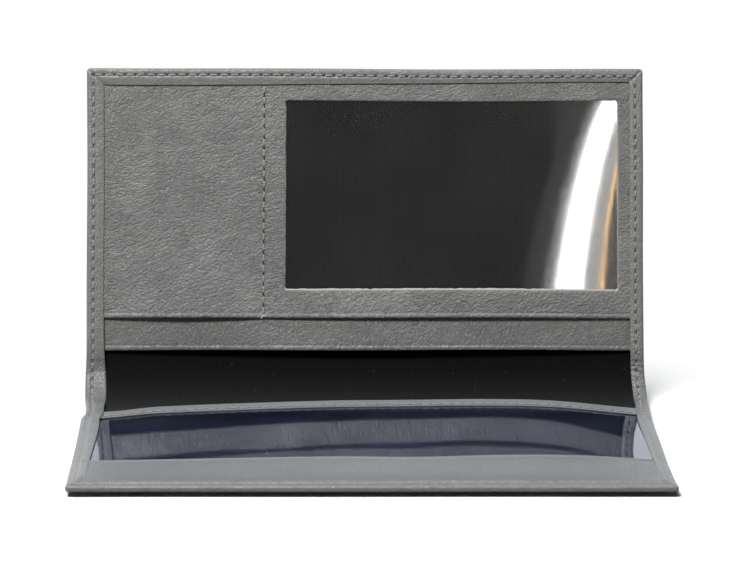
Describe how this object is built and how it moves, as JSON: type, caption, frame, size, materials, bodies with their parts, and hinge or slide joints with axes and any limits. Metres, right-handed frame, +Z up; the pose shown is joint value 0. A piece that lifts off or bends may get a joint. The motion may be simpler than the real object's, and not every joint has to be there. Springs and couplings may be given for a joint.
{
  "type": "checkbook cover",
  "caption": "Bi-fold leather checkbook cover standing open, with turned and stitched edges, a window panel with a card pocket, a slip pocket and an arched clear pocket.",
  "frame": {"origin": "on the table, under the middle of the cover's box", "axes": "+X along the fold to the right as seen from the front, +Y from the front edge back to the upper half, +Z up"},
  "size_m": [0.1714, 0.1288, 0.0997],
  "materials": {
    "cover_leather": "satin",
    "pocket_leather": "satin",
    "lining": "matte",
    "board": "matte",
    "clear_film": "gloss",
    "thread": "matte"
  },
  "bodies": {
    "lower_half": {"lower_cover": "cover_leather", "lower_board": "board", "lower_lining": "lining", "pocket_film": "clear_film", "pocket_binding": "pocket_leather", "pocket_band": "pocket_leather", "lower_seam_left": "thread", "lower_seam_right": "thread", "lower_seam_front": "thread", "binding_seam": "thread"},
    "spine": {"spine_cover": "cover_leather", "spine_lining": "lining", "spine_seam_left": "thread", "spine_seam_right": "thread"},
    "upper_half": {"upper_cover": "cover_leather", "upper_board": "board", "upper_lining": "lining", "slip_lining": "lining", "slip_facing": "pocket_leather", "window_film": "clear_film", "window_panel": "pocket_leather", "upper_seam_left": "thread", "upper_seam_right": "thread", "upper_seam_top": "thread", "divider_seam": "thread"}
  },
  "joints": [
    {"name": "lower_fold", "type": "hinge", "parent": "lower_half", "child": "spine", "pos_m": [0, 0.03109, 0.00207], "axis": [1, 0, 0], "range_deg": [-37.5, 52.5], "deforming": ["spine_cover", "spine_lining", "spine_seam_left", "spine_seam_right"]},
    {"name": "upper_fold", "type": "hinge", "parent": "spine", "child": "upper_half", "pos_m": [0, 0.03793, 0.00732], "axis": [1, 0, 0], "range_deg": [-37.5, 52.5]}
  ],
  "couplings": [
    {"joint": "upper_fold", "follows": "lower_fold", "ratio": 1}
  ]
}
